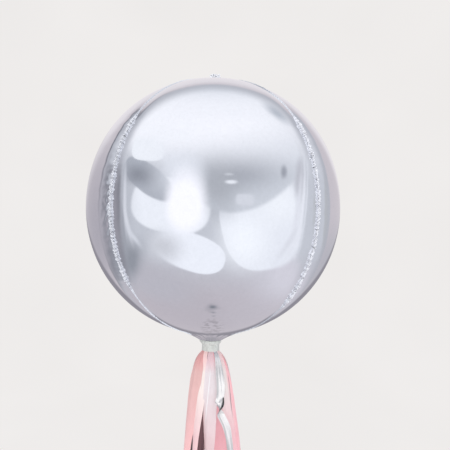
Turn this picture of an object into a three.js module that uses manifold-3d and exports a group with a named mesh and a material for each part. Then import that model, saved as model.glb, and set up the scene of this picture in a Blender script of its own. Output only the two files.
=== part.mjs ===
// Round foil balloon with a paper and foil tassel, floating upright. Millimetres, +Z up, origin at the
// envelope's centre. The side with the two seams that frame one gore faces -Y.
import * as THREE from 'three';
import * as BufferGeometryUtils from 'three/addons/utils/BufferGeometryUtils.js';
import Module from 'manifold-3d';

const wasm = await Module();
wasm.setup();

// Envelope
const EQUATOR_RADIUS = 199.5;
const CROWN_RISE = 5.5; // the upper half stands this much fuller than the lower half
const CROWN_FULL_FROM = THREE.MathUtils.degToRad(55); // latitude from which the rise is whole
const WALL = 10;
const CONE_LATITUDE = THREE.MathUtils.degToRad(-72); // below this the foil is drawn straight to the neck
const NECK_HOLE_RADIUS = 12.4;
const CROWN_HOLE_RADIUS = 4.2;
const GORE_SPAN = Math.PI / 2;
const GORE_EDGE_GAP = 0.2; // each gore stops this far short of the seam plane
const SEAM_PINCH = 3; // depth of the furrow in which a seam lies
const PINCH_WIDTH = THREE.MathUtils.degToRad(6);
const GORE_COLUMNS = 10;
const GORE_ROWS = 22;

// Welded seam margins
const SEAM_CLEARANCE = 0.35;
const SEAM_HEIGHT = 4.8;
const SEAM_END_HEIGHT = 1.4; // towards the crown and the neck the margin lies down on the foil
const SEAM_FOLDS_DOWN_OVER = THREE.MathUtils.degToRad(12);
const SEAM_THICKNESS = 1.2;
const SEAM_BOTTOM = THREE.MathUtils.degToRad(-80);
const SEAM_TOP = THREE.MathUtils.degToRad(86.6);
const PLEATS_FROM = THREE.MathUtils.degToRad(-44);
const PLEATS_TO = THREE.MathUtils.degToRad(46);
const PLEAT_SWING = 2.2; // how far a fold stands off the seam plane
const PLEAT_EVENNESS = 0.75; // mean share of the swing that a fold has
const PLEAT_BEAT = 1.7; // radians by which the size of the folds varies from one to the next
const SEAM_SECTIONS = 100;

// Crown tab, where the four seams meet
const TAB_ARM_LENGTH = 9;
const TAB_THICKNESS = 2.4;
const TAB_HEIGHT = 11.5;
const TAB_STEM_RADIUS = 3.8;
const TAB_STEM_LENGTH = 7;
const TAB_STEM_STANDS_IN = 1; // how far the stem reaches up into the arms

// Neck, and the wrap that holds the tassel's head
const NECK_PIVOT_Z = -207;
const NECK_RADIUS = 12;
const SOCKET_GAP = 0.4;
const WRAP_TOP_Z = -213;
const WRAP_BOTTOM_Z = -231;
const WRAP_RADIUS = 14;
const WRAP_HEM_RADIUS = 13.7;
const WRAP_WALL = 0.6;
const WRAP_CAP_Z = -220.9;
const SOCKET_STEPS = 5;
const WRAP_SIDES = 32;
const STEM_SIDES = 16;
const BALL_SIDES = 20;
const BALL_RINGS = 12;

// The wrap's rounded shoulder: how far in from its side and how far below its top edge each corner lies
const WRAP_SHOULDER = [
  { inset: 2.6, drop: 0 },
  { inset: 0.8, drop: 2 },
  { inset: 0, drop: 5 },
];

const TAIL_RADIUS = 6.6;
const TAIL_END_RADIUS = 5.28;
const TAIL_LENGTH = 30.5;

// Tassel: how its strips open out below the wrap
const STRIP_TOP_Z = WRAP_CAP_Z - 0.4;
const STRIP_THICKNESS = 1;
const STRIP_INSIDE_WRAP = STRIP_TOP_Z - WRAP_BOTTOM_Z;
const STRIP_STATIONS = 14;
const STATION_CROWDING = 1.7; // stations lie closer together at the shoulder
const SHOULDER_FLARE = 14.4; // gained in the first few centimetres
const SHOULDER_FALL = 13;
const SKIRT_FLARE = 51; // gained slowly, along the whole length
const SKIRT_FALL = 300;
const WIDENING_FALL = 25;
const LEAN = Math.tan(THREE.MathUtils.degToRad(2.1)); // the tassel hangs plumb while the balloon leans

// Rings from the outside in. radius, head: at the wrap. flare: share of the tassel's own. width: below the
// shoulder. turn: degrees from the front to the first strip, counted to the right.
const RINGS = [
  { name: 'outer', radius: 11.8, head: 6.6, flare: 1, width: 22, turn: 0 },
  { name: 'middle', radius: 9.9, head: 6.6, flare: 0.62, width: 18, turn: 22.5 },
  { name: 'inner', radius: 7.6, head: 7, flare: 0.25, width: 13, turn: 30 },
];

// Each ring's strips in turn: what it is made of and how far it hangs below the wrap
const STRIPS = {
  outer: [
    { made: 'white', length: 318 }, { made: 'silver', length: 306 },
    { made: 'pink', length: 324 }, { made: 'white', length: 310 },
    { made: 'pink', length: 320 }, { made: 'silver', length: 304 },
    { made: 'pink', length: 316 }, { made: 'white', length: 322 },
    { made: 'pink', length: 308 }, { made: 'white', length: 320 },
  ],
  middle: [
    { made: 'pink', length: 300 }, { made: 'silver', length: 312 },
    { made: 'white', length: 296 }, { made: 'silver', length: 306 },
    { made: 'white', length: 302 }, { made: 'pink', length: 294 },
    { made: 'silver', length: 310 }, { made: 'silver', length: 298 },
  ],
  inner: [
    { made: 'pink', length: 290 }, { made: 'white', length: 282 },
    { made: 'pink', length: 294 }, { made: 'silver', length: 286 },
    { made: 'pink', length: 280 }, { made: 'white', length: 292 },
  ],
};

const FINISHES = {
  foil: { color: 0xc6cad4, roughness: 0.12, metalness: 1 },
  weld: { color: 0xd8dce2, roughness: 0.3, metalness: 1 },
  wrap: { color: 0xe4e0df, roughness: 0.35, metalness: 0 },
  white: { color: 0xf1edee, roughness: 0.7, metalness: 0 },
  pink: { color: 0xf3cfd2, roughness: 0.75, metalness: 0 },
  silver: { color: 0xd5d8de, roughness: 0.2, metalness: 1 },
};

const balloon = new THREE.Group();

function add(name, geometry, finish) {
  geometry.computeVertexNormals();
  const mesh = new THREE.Mesh(geometry, new THREE.MeshStandardMaterial(FINISHES[finish]));
  mesh.name = name;
  balloon.add(mesh);
  return mesh;
}

// Moves every corner of a box of unit size to place(u, v, w), each of u, v and w running from 0 to 1.
function warp(box, place) {
  const corners = box.attributes.position;
  const share = (value) => Math.round((value + 0.5) * 1e6) / 1e6;
  for (let i = 0; i < corners.count; i += 1) {
    const at = place(share(corners.getX(i)), share(corners.getY(i)), share(corners.getZ(i)));
    corners.setXYZ(i, at.x, at.y, at.z);
  }
  return box;
}

function closedSolid(geometry) {
  const bare = geometry.clone();
  bare.deleteAttribute('normal');
  bare.deleteAttribute('uv');
  const merged = BufferGeometryUtils.mergeVertices(bare, 1e-4);
  return new wasm.Manifold(new wasm.Mesh({
    numProp: 3,
    vertProperties: merged.attributes.position.array,
    triVerts: new Uint32Array(merged.index.array),
  }));
}

function joined(first, second) {
  const mesh = closedSolid(first).add(closedSolid(second)).getMesh();
  const geometry = new THREE.BufferGeometry();
  geometry.setAttribute('position', new THREE.BufferAttribute(mesh.vertProperties, 3));
  geometry.setIndex(new THREE.BufferAttribute(mesh.triVerts, 1));
  return geometry;
}

// Envelope's outline: distance from the axis and height at a latitude, for the outer face.
function fullness(latitude) {
  const rise = THREE.MathUtils.clamp(latitude / CROWN_FULL_FROM, 0, 1);
  return EQUATOR_RADIUS + CROWN_RISE * Math.sin(rise * Math.PI / 2) ** 2;
}

function sphereOutline(latitude) {
  const radius = fullness(latitude);
  return new THREE.Vector2(radius * Math.cos(latitude), radius * Math.sin(latitude));
}

const CONE_START = sphereOutline(CONE_LATITUDE);
const CONE_SLOPE = -1 / Math.tan(CONE_LATITUDE); // drop of the drawn-in foil for each mm towards the axis
const NECK_LIP = new THREE.Vector2(
  NECK_HOLE_RADIUS,
  CONE_START.y - CONE_SLOPE * (CONE_START.x - NECK_HOLE_RADIUS),
);
const CROWN_LATITUDE = Math.acos(CROWN_HOLE_RADIUS / (EQUATOR_RADIUS + CROWN_RISE));

function outline(latitude) {
  if (latitude >= CONE_LATITUDE) return sphereOutline(latitude);
  const share = (CONE_LATITUDE - latitude) / (CONE_LATITUDE + Math.PI / 2);
  return CONE_START.clone().lerp(NECK_LIP, Math.min(share, 1));
}

// A point of the envelope: off is the angle to the nearest seam, depth the distance in from the outer face.
function envelopePoint(azimuth, latitude, off, depth) {
  const edge = outline(latitude);
  const pinch = SEAM_PINCH * Math.exp(-((off / PINCH_WIDTH) ** 2)) * Math.cos(latitude) ** 2;
  edge.setLength(edge.length() - depth - pinch);
  return new THREE.Vector3(edge.x * Math.cos(azimuth), edge.x * Math.sin(azimuth), edge.y);
}

// One gore: columns crowd towards its edges, where the foil dips to the seam.
function gore(middle) {
  const box = new THREE.BoxGeometry(1, 1, 1, GORE_COLUMNS, GORE_ROWS, 1);
  return warp(box, (u, v, w) => {
    const latitude = THREE.MathUtils.lerp(-Math.PI / 2, CROWN_LATITUDE, v);
    const swing = Math.sin((u - 0.5) * Math.PI) * GORE_SPAN / 2;
    const depth = (1 - w) * WALL;
    const radius = outline(latitude).x * (1 - depth / EQUATOR_RADIUS);
    const inset = Math.asin(GORE_EDGE_GAP / radius) * swing / (GORE_SPAN / 2);
    return envelopePoint(middle + swing - inset, latitude, GORE_SPAN / 2 - Math.abs(swing), depth);
  });
}

// One seam margin: a band that stands out of the envelope and is folded to and fro where the gores bulge
// most. share runs from the bottom up, lift from its root to its free edge.
function pleatSwing(section, latitude) {
  if (latitude < PLEATS_FROM || latitude > PLEATS_TO) return 0;
  const fold = section % 2 === 0 ? 1 : -1;
  const size = PLEAT_EVENNESS + (1 - PLEAT_EVENNESS) * Math.sin(section * PLEAT_BEAT);
  return fold * PLEAT_SWING * size;
}

function seam(azimuth) {
  const box = new THREE.BoxGeometry(1, 1, 1, 1, SEAM_SECTIONS, 1);
  const across = new THREE.Vector3(-Math.sin(azimuth), Math.cos(azimuth), 0);
  return warp(box, (u, v, w) => {
    const section = Math.round(v * SEAM_SECTIONS);
    const latitude = THREE.MathUtils.lerp(SEAM_BOTTOM, SEAM_TOP, v);
    const beyond = Math.max(PLEATS_FROM - latitude, latitude - PLEATS_TO, 0);
    const lying = THREE.MathUtils.clamp(beyond / SEAM_FOLDS_DOWN_OVER, 0, 1);
    const lift = SEAM_CLEARANCE + w * THREE.MathUtils.lerp(SEAM_HEIGHT, SEAM_END_HEIGHT, lying);
    const point = envelopePoint(azimuth, latitude, 0, -lift);
    return point.addScaledVector(across, (u - 0.5) * SEAM_THICKNESS + pleatSwing(section, latitude));
  });
}

function crownTab() {
  const arm = TAB_ARM_LENGTH;
  const half = TAB_THICKNESS / 2;
  const cross = new THREE.Shape([
    new THREE.Vector2(half, half), new THREE.Vector2(half, arm),
    new THREE.Vector2(-half, arm), new THREE.Vector2(-half, half),
    new THREE.Vector2(-arm, half), new THREE.Vector2(-arm, -half),
    new THREE.Vector2(-half, -half), new THREE.Vector2(-half, -arm),
    new THREE.Vector2(half, -arm), new THREE.Vector2(half, -half),
    new THREE.Vector2(arm, -half), new THREE.Vector2(arm, half),
  ]);
  const foot = EQUATOR_RADIUS + CROWN_RISE + SEAM_CLEARANCE;
  const arms = new THREE.ExtrudeGeometry(cross, { depth: TAB_HEIGHT, bevelEnabled: false, steps: 1 });
  arms.rotateZ(GORE_SPAN / 2);
  arms.translate(0, 0, foot);
  const stem = new THREE.CylinderGeometry(TAB_STEM_RADIUS, TAB_STEM_RADIUS, TAB_STEM_LENGTH, STEM_SIDES);
  stem.rotateX(Math.PI / 2);
  stem.translate(0, 0, foot + TAB_STEM_STANDS_IN - TAB_STEM_LENGTH / 2);
  return joined(arms, stem);
}

// Gathered foil under the envelope, round where it turns in the envelope's hole and in the wrap.
function neck() {
  const ball = new THREE.SphereGeometry(NECK_RADIUS, BALL_SIDES, BALL_RINGS);
  ball.rotateX(Math.PI / 2);
  ball.translate(0, 0, NECK_PIVOT_Z);
  return ball;
}

function neckWrap() {
  const socket = NECK_RADIUS + SOCKET_GAP;
  const rim = Math.acos((NECK_PIVOT_Z - WRAP_TOP_Z) / socket);
  const profile = [];
  for (let i = 0; i <= SOCKET_STEPS; i += 1) {
    const angle = rim * i / SOCKET_STEPS;
    profile.push(new THREE.Vector2(socket * Math.sin(angle), NECK_PIVOT_Z - socket * Math.cos(angle)));
  }
  for (const { inset, drop } of WRAP_SHOULDER) {
    profile.push(new THREE.Vector2(WRAP_RADIUS - inset, WRAP_TOP_Z - drop));
  }
  profile.push(new THREE.Vector2(WRAP_HEM_RADIUS, WRAP_BOTTOM_Z));
  profile.push(new THREE.Vector2(WRAP_HEM_RADIUS - WRAP_WALL, WRAP_BOTTOM_Z));
  profile.push(new THREE.Vector2(WRAP_HEM_RADIUS - WRAP_WALL, WRAP_CAP_Z));
  profile.push(new THREE.Vector2(0, WRAP_CAP_Z));
  const sleeve = new THREE.LatheGeometry(profile.reverse(), WRAP_SIDES);
  sleeve.rotateX(Math.PI / 2);
  return sleeve;
}

function tail() {
  const stem = new THREE.CylinderGeometry(TAIL_RADIUS, TAIL_END_RADIUS, TAIL_LENGTH, STEM_SIDES);
  stem.rotateX(Math.PI / 2);
  stem.translate(0, 0, STRIP_TOP_Z - TAIL_LENGTH / 2);
  return stem;
}

// How far the tassel has opened out at a drop below the wrap's hem.
function flareAt(drop) {
  if (drop <= 0) return 0;
  return SHOULDER_FLARE * (1 - Math.exp(-drop / SHOULDER_FALL))
    + SKIRT_FLARE * (1 - Math.exp(-drop / SKIRT_FALL));
}

// One strip of a ring: flat across, gathered at its head, opening out over the shoulder and hanging down.
function strip(ring, azimuth, length) {
  const box = new THREE.BoxGeometry(1, 1, 1, 1, STRIP_STATIONS, 1);
  const outward = new THREE.Vector3(Math.cos(azimuth), Math.sin(azimuth), 0);
  const across = new THREE.Vector3(-Math.sin(azimuth), Math.cos(azimuth), 0);
  return warp(box, (u, v, w) => {
    const station = Math.round((1 - v) * STRIP_STATIONS);
    const share = (station - 1) / (STRIP_STATIONS - 1);
    const drop = station === 0 ? -STRIP_INSIDE_WRAP : length * share ** STATION_CROWDING;
    const widening = 1 - Math.exp(-Math.max(drop, 0) / WIDENING_FALL);
    const width = THREE.MathUtils.lerp(ring.head, ring.width, widening);
    const radius = ring.radius + ring.flare * flareAt(drop) + (w - 0.5) * STRIP_THICKNESS;
    return new THREE.Vector3(LEAN * Math.max(drop, 0), 0, WRAP_BOTTOM_Z - drop)
      .addScaledVector(outward, radius)
      .addScaledVector(across, (u - 0.5) * width);
  });
}

const FRONT = -Math.PI / 2;
['front', 'right', 'back', 'left'].forEach((side, i) => {
  add(`gore_${side}`, gore(FRONT + i * GORE_SPAN), 'foil');
});
['front_right', 'back_right', 'back_left', 'front_left'].forEach((side, i) => {
  add(`seam_${side}`, seam(FRONT + (i + 0.5) * GORE_SPAN), 'weld');
});
add('crown_tab', crownTab(), 'weld');
add('neck', neck(), 'foil');
add('neck_wrap', neckWrap(), 'wrap');
add('tail', tail(), 'foil');
for (const ring of RINGS) {
  const strips = STRIPS[ring.name];
  strips.forEach(({ made, length }, i) => {
    const azimuth = FRONT + THREE.MathUtils.degToRad(ring.turn + 360 * i / strips.length);
    add(`strip_${ring.name}_${made}_${i + 1}`, strip(ring, azimuth, length), made);
  });
}

export default balloon;
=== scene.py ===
import math
import random

import bmesh
import bpy
from bpy.props import FloatProperty, FloatVectorProperty, PointerProperty
from bpy.types import Operator, Panel, PropertyGroup
from mathutils import Matrix, Vector, noise


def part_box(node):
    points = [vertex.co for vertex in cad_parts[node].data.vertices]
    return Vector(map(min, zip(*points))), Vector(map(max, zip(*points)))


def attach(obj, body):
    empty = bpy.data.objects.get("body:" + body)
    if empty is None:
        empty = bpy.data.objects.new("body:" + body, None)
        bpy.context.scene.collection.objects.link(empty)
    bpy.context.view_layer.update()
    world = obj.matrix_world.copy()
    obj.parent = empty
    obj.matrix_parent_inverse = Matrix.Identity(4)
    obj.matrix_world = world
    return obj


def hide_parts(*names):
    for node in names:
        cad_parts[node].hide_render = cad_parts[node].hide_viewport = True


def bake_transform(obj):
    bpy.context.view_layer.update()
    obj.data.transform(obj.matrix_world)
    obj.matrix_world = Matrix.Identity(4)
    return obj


bl_info = {
    "name": "Round foil balloon with tassel",
    "version": (1, 0, 0),
    "blender": (4, 5, 0),
    "location": "3D View > Sidebar > Balloon",
    "description": "Finished foil, welded margins, wrap and tassel strips on the packed balloon",
    "category": "Object",
}

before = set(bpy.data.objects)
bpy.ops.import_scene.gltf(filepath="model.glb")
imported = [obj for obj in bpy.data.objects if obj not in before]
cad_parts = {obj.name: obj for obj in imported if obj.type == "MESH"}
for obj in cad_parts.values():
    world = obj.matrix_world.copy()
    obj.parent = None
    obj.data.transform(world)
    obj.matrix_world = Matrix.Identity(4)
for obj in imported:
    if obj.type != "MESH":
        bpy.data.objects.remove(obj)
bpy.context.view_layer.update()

PHOTO_SIDE = 450
SENSOR = 36.0
FRONT = math.radians(-90)
QUARTER = math.radians(90)


# Settings

def length(name, description, default):
    return FloatProperty(name=name, description=description, default=default, unit="LENGTH", precision=5)


def angle(name, description, default):
    return FloatProperty(name=name, description=description, default=math.radians(default), subtype="ANGLE")


def share(name, description, default):
    return FloatProperty(name=name, description=description, default=default, subtype="FACTOR")


def colour(name, description, default):
    return FloatVectorProperty(name=name, description=description, default=default, size=3,
                               min=0, soft_max=1, subtype="COLOR")


class BALLOON_PG_envelope(PropertyGroup):
    equator_radius: length("Equator radius", "Half the balloon's width", 0.1995)
    crown_rise: length("Crown rise", "How much fuller the upper half stands", 0.0044)
    crown_full_from: angle("Crown full from", "Latitude from which the rise is whole", 55)
    cone_latitude: angle("Cone latitude", "Below this the foil is drawn straight to the neck", -72)
    lip_radius: length("Lip radius", "Radius at which the gores end in the gathered neck", 0.0205)
    neck_radius: length("Neck radius", "Radius of the gathered foil at the wrap", 0.0145)
    draw_radius: length("Draw radius", "Radius inside which the foil is drawn down to the neck", 0.070)
    draw: length("Draw", "How far the foil is drawn down at the neck", 0.0075)
    crown_radius: length("Crown radius", "Radius of the hole that the crown tab fills", 0.0042)
    furrow_depth: length("Furrow depth", "How far the foil dips to a seam", 0.0016)
    furrow_width: angle("Furrow width", "How far from a seam the foil dips", 5)
    pucker_depth: length("Pucker depth", "Depth of the puckers beside a seam", 0.00045)
    pucker_reach: length("Pucker reach", "How far from the seam the puckers run out", 0.009)
    gather_depth: length("Gather depth", "Depth of the gathers that run out from the neck", 0.0007)
    gather_reach: length("Gather reach", "How far from the neck's middle the gathers run out", 0.085)
    film: length("Film thickness", "Thickness drawn for the film", 0.0006)
    foil: colour("Foil colour", "Colour of the mirror foil", (0.80, 0.81, 0.85))


class BALLOON_PG_margins(PropertyGroup):
    height: length("Height", "How far the welded margin stands out of the foil", 0.0042)
    end_height: length("End height", "Its height where it lies down on the foil", 0.0013)
    film: length("Film thickness", "Thickness drawn for the welded film", 0.00035)
    fold: length("Fold", "Mean distance from one fold to the next", 0.0022)
    swing: length("Swing", "How far a fold stands off the seam plane", 0.0018)
    foil: colour("Foil colour", "Colour of the crinkled foil", (0.96, 0.97, 1.0))


class BALLOON_PG_tassel(PropertyGroup):
    film: length("Strip thickness", "Thickness drawn for a strip", 0.0004)
    head: length("Strip head", "Width of a strip where it is gathered", 0.0068)
    pleat: length("Shoulder pleat", "Depth of the pleats in a strip below the wrap", 0.0009)
    white: colour("White tissue", "Colour of the white tissue", (0.95, 0.92, 0.90))
    pink: colour("Pink tissue", "Colour of the pale pink tissue", (0.97, 0.80, 0.79))
    silver: colour("Silver foil", "Colour of the silver strips", (0.90, 0.90, 0.92))
    wrap: colour("Wrap film", "Colour of the milky wrap", (0.77, 0.79, 0.73))


class BALLOON_PG_studio(PropertyGroup):
    floor: colour("Floor colour", "Colour of the floor and wall", (0.87, 0.85, 0.84))
    floor_drop: length("Floor drop", "How far the floor lies below the balloon's middle", 1.0)
    wall_radius: length("Wall radius", "Distance of the round wall from the balloon", 3.2)
    wall_height: length("Wall height", "Height of the round wall", 4.2)
    brightness: share("Brightness", "Strength of the studio's soft light", 1.0)
    lamp_power: FloatProperty(name="Lamp power", description="Power of the large front lamp in watts",
                              default=12.5)
    lamp_colour: colour("Lamp colour", "Colour of the large front lamp", (1.0, 0.955, 0.93))
    lamp_size: length("Lamp size", "Side of the large front lamp", 1.6)
    lamp_distance: length("Lamp distance", "Distance of the large front lamp", 2.0)
    camera_distance: length("Camera distance", "Distance of the camera from the balloon's middle", 0.85754)
    camera_turn: angle("Camera turn", "How far the camera is turned about the balloon", 1.0)
    camera_tilt: angle("Camera tilt", "How far the camera looks up or down", -0.74)
    camera_roll: angle("Camera roll", "How far the camera leans", 1.01)


def settings():
    return bpy.context.scene.balloon


# Shapes

def lerp(a, b, t):
    return a + (b - a) * t


def clamp(t):
    return min(max(t, 0.0), 1.0)


def ease(t):
    t = clamp(t)
    return t * t * (3 - 2 * t)


def wobble(*where):
    """A smooth value between about -1 and 1 that is the same each run."""
    return noise.noise(Vector(where))


def facing(azimuth):
    """Level directions at a turn about the upright axis: outwards, and to its left."""
    cosine, sine = math.cos(azimuth), math.sin(azimuth)
    return Vector((cosine, sine, 0)), Vector((-sine, cosine, 0))


def polar(at):
    """Distance from the upright axis, and turn about it."""
    return math.hypot(at.x, at.y), math.atan2(at.y, at.x)


def spot(at):
    """A place as a key, by which a value found for it is looked up later."""
    return tuple(round(part, 7) for part in at)


def grid_of(columns, rows, place):
    """A grid of faces whose corners are moved to place(u, v), with u and v from 0 to 1."""
    sheet = bmesh.new()
    bmesh.ops.create_grid(sheet, x_segments=columns, y_segments=rows, size=0.5)
    for corner in sheet.verts:
        corner.co = place(corner.co.x + 0.5, corner.co.y + 0.5)
    return sheet


def spun(profile, steps):
    """The surface that a profile of (radius, height) sweeps in a full turn about the upright axis."""
    made = bmesh.new()
    rim = [made.verts.new((radius, 0, height)) for radius, height in profile]
    for low, high in zip(rim, rim[1:]):
        made.edges.new((low, high))
    bmesh.ops.spin(made, geom=made.verts[:] + made.edges[:], cent=(0, 0, 0), axis=(0, 0, 1),
                   angle=2 * math.pi, steps=steps, use_merge=True)
    bmesh.ops.remove_doubles(made, verts=made.verts[:], dist=1e-6)
    bmesh.ops.recalc_face_normals(made, faces=made.faces[:])
    return made


def thicken(made, thickness):
    """Gives a sheet a wall behind its outer face."""
    bmesh.ops.solidify(made, geom=made.faces[:], thickness=thickness)


def to_mesh(made, name):
    mesh = bpy.data.meshes.new(name)
    made.to_mesh(mesh)
    made.free()
    return mesh


def to_scene(name, data):
    made = bpy.data.objects.new(name, data)
    bpy.context.scene.collection.objects.link(made)
    return made


def finish_piece(made, name, finish, body, nodes, slot, sharp=40, mirrored=True):
    """Turns a bmesh into a piece that rides on a body and stands for the named nodes. sharp: degrees at which
    an edge is creased. mirrored: whether the foil shows the piece."""
    made.normal_update()
    if made.calc_volume(signed=True) < 0:
        bmesh.ops.reverse_faces(made, faces=made.faces[:])
    if any(len(edge.link_faces) != 2 for edge in made.edges):
        raise RuntimeError(f"{name} isn't a closed shell")
    crease = math.radians(sharp)
    for edge in made.edges:
        edge.smooth = edge.calc_face_angle(0) < crease
    for face in made.faces:
        face.smooth = True
    piece = to_scene(name, to_mesh(made, name))
    piece.data.materials.append(finish)
    piece.visible_glossy = mirrored
    if body:
        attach(piece, body)
    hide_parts(*nodes)
    return piece


# Material nodes

def put(tree, kind, inputs=None, **options):
    """Adds a node, sets its options, and sets or links its inputs by name or number."""
    made = tree.nodes.new(kind)
    for option, value in options.items():
        setattr(made, option, value)
    for socket, value in (inputs or {}).items():
        if isinstance(value, bpy.types.NodeSocket):
            tree.links.new(value, made.inputs[socket])
        else:
            made.inputs[socket].default_value = value
    return made


def feed(tree, sockets, links):
    """Links values to the sockets of a shader or of a group's end."""
    for socket, value in links.items():
        tree.links.new(value, sockets[socket])


def calc(tree, operation, *values):
    """The result of a Math node. The functions after it stand for the operations that come up often."""
    return put(tree, "ShaderNodeMath", dict(enumerate(values)), operation=operation).outputs[0]


def total(tree, first, second):
    return calc(tree, "ADD", first, second)


def less(tree, first, second):
    return calc(tree, "SUBTRACT", first, second)


def ratio(tree, first, second):
    return calc(tree, "DIVIDE", first, second)


def product(tree, *values):
    result = values[0]
    for value in values[1:]:
        result = calc(tree, "MULTIPLY", result, value)
    return result


def held(tree, value, low, high):
    """A value held between two others."""
    return calc(tree, "MINIMUM", calc(tree, "MAXIMUM", value, low), high)


def ranged(tree, value, start, end, low=0.0, high=1.0, **options):
    """A value mapped from one range to another, and held within it."""
    return put(tree, "ShaderNodeMapRange", {"Value": value, "From Min": start, "From Max": end,
                                            "To Min": low, "To Max": high}, **options).outputs[0]


def tones(tree, amount, low, high):
    """Maps a noise, which varies from about 0.3 to 0.7, to a range."""
    return ranged(tree, amount, 0.3, 0.7, low, high)


def split(tree, place):
    return put(tree, "ShaderNodeSeparateXYZ", {0: place}).outputs


def noise_of(tree, place, scale, detail, roughness=0.5, distortion=0.0):
    return put(tree, "ShaderNodeTexNoise", {"Vector": place, "Scale": scale, "Detail": detail,
                                            "Roughness": roughness, "Distortion": distortion}).outputs[0]


def bumped(tree, height, strength, distance):
    return put(tree, "ShaderNodeBump", {"Height": height, "Strength": strength,
                                        "Distance": distance}).outputs[0]


def mixed(tree, amount, first, second, blend="MIX"):
    """One colour laid over another by an amount."""
    return put(tree, "ShaderNodeMix", {0: amount, 6: first, 7: second}, data_type="RGBA",
               blend_type=blend, clamp_factor=True).outputs[2]


def times(tree, first, second):
    """One colour multiplied by another."""
    return mixed(tree, 1.0, first, second, "MULTIPLY")


def rgba(value):
    return (*value, 1.0)


def shade(base, share):
    """A share of a colour."""
    return rgba([part * share for part in base])


WHITE = rgba((1.0, 1.0, 1.0))


def group(name, takes, gives):
    """A new node group with named sockets. takes lists (name, default), where None makes a vector socket, and
    gives lists names."""
    made = bpy.data.node_groups.new(name, "ShaderNodeTree")
    for label, default in takes:
        kind = "NodeSocketVector" if default is None else "NodeSocketFloat"
        socket = made.interface.new_socket(label, in_out="INPUT", socket_type=kind)
        if default is not None:
            socket.default_value = default
    for label in gives:
        made.interface.new_socket(label, in_out="OUTPUT", socket_type="NodeSocketFloat")
    return made, made.nodes.new("NodeGroupInput").outputs, made.nodes.new("NodeGroupOutput").inputs


def use_group(tree, name, inputs, **options):
    """The outputs of a named group, put to use in another tree."""
    return put(tree, "ShaderNodeGroup", inputs, node_tree=bpy.data.node_groups[name], **options).outputs


def build_crinkle_group():
    """Film crinkle: the uneven skin of metallised film, as a height and a tone."""
    tree, takes, gives = group("Film crinkle", [("Vector", None), ("Broad", 20.0), ("Fine", 260.0),
                                                ("Fine share", 0.2)], ["Height", "Tone"])
    broad = noise_of(tree, takes["Vector"], takes["Broad"], 2.0, 0.45)
    fine = noise_of(tree, takes["Vector"], takes["Fine"], 3.0, 0.6, 0.8)
    feed(tree, gives, {"Height": total(tree, broad, product(tree, fine, takes["Fine share"])), "Tone": fine})


def build_tissue_group():
    """Tissue fibre: the short fibres and faint lengthwise creases of tissue, on a strip's own UV map."""
    tree, takes, gives = group("Tissue fibre", [("UV", None), ("Crease", 0.6)], ["Height", "Fibre", "Cloud"])
    stretched = put(tree, "ShaderNodeMapping", {"Vector": takes["UV"], "Scale": (420.0, 16.0, 1.0)})
    creases = product(tree, noise_of(tree, stretched.outputs[0], 1.0, 3.0, 0.55), takes["Crease"])
    fibres = noise_of(tree, takes["UV"], 900.0, 4.0, 0.7, 1.5)
    feed(tree, gives, {"Height": total(tree, creases, product(tree, fibres, 0.25)), "Fibre": fibres,
                       "Cloud": noise_of(tree, takes["UV"], 38.0, 2.0)})


# Painted shade in the folds where the foil is gathered: distances from the axis where it begins and is whole,
# and distances to the side at which the deepest ones, at the front and the back, end and the others begin
FOLD_SHADE_FROM, FOLD_SHADE_TO = 0.052, 0.034
DEEP_SHADE_TO, BESIDE_SHADE_FROM = 0.005, 0.016


def build_fold_shade_group():
    """Neck fold shade: how far a place lies in the painted shade of the neck's folds, and how far beside the
    deepest.
    """
    tree, takes, gives = group("Neck fold shade", [("Vector", None)], ["Near", "Beside"])
    parts = split(tree, takes["Vector"])
    radius = calc(tree, "SQRT", total(tree, product(tree, parts["X"], parts["X"]),
                                      product(tree, parts["Y"], parts["Y"])))
    near = ranged(tree, radius, FOLD_SHADE_FROM, FOLD_SHADE_TO)
    feed(tree, gives, {"Near": product(tree, near, calc(tree, "LESS_THAN", parts["Z"], 0.0)),
                       "Beside": ranged(tree, calc(tree, "ABSOLUTE", parts["X"]), DEEP_SHADE_TO, BESIDE_SHADE_FROM)})


# Painted lines along a strip on its UV map, of painted highlight or painted shade, in metres from its middle
# and down from the wrap's hem. End: over what length a line fades out
CREASE_HIGHLIGHT = {"From X": -0.0008, "From Y": 0.030, "To X": -0.0052, "To Y": 0.100,
                 "Width": 0.0009, "End": 0.009}
FACET_SHADE = {"From X": 0.0064, "From Y": 0.066, "To X": 0.0050, "To Y": 0.084,
              "Width": 0.0042, "End": 0.002}
CREASE_SHADE = {"From X": 0.0084, "From Y": 0.041, "To X": 0.0046, "To Y": 0.097,
               "Width": 0.0012, "End": 0.006}


def build_line_group():
    """Lengthwise line: a soft line between two places of a strip's UV map, as a mask for a painted highlight
    or shade.
    """
    tree, takes, gives = group("Lengthwise line", [("UV", None), *CREASE_HIGHLIGHT.items()], ["Mask"])
    parts = split(tree, takes["UV"])
    top, low, end = takes["From Y"], takes["To Y"], takes["End"]
    line = ranged(tree, parts["Y"], top, low, takes["From X"], takes["To X"])
    away = calc(tree, "ABSOLUTE", less(tree, parts["X"], line))
    near = ranged(tree, away, 0.0, takes["Width"], 1.0, 0.0, interpolation_type="SMOOTHSTEP")
    begun = ranged(tree, parts["Y"], less(tree, top, end), top)
    ended = ranged(tree, parts["Y"], total(tree, low, end), less(tree, low, end))
    feed(tree, gives, {"Mask": product(tree, near, product(tree, begun, ended))})


# Materials

def material(name, maker, *values):
    """The named material, made on first use."""
    return bpy.data.materials.get(name) or maker(name, *values)


def new_material(name, **constants):
    """A material with one Principled shader, whose constant values go on its own sockets."""
    made = bpy.data.materials.new(name)
    made.use_nodes = True
    shader = made.node_tree.nodes["Principled BSDF"]
    for socket, value in constants.items():
        shader.inputs[socket.replace("_", " ")].default_value = value
    return made, made.node_tree, shader.inputs


def coordinates(tree, kind):
    return put(tree, "ShaderNodeTexCoord").outputs[kind]


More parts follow.
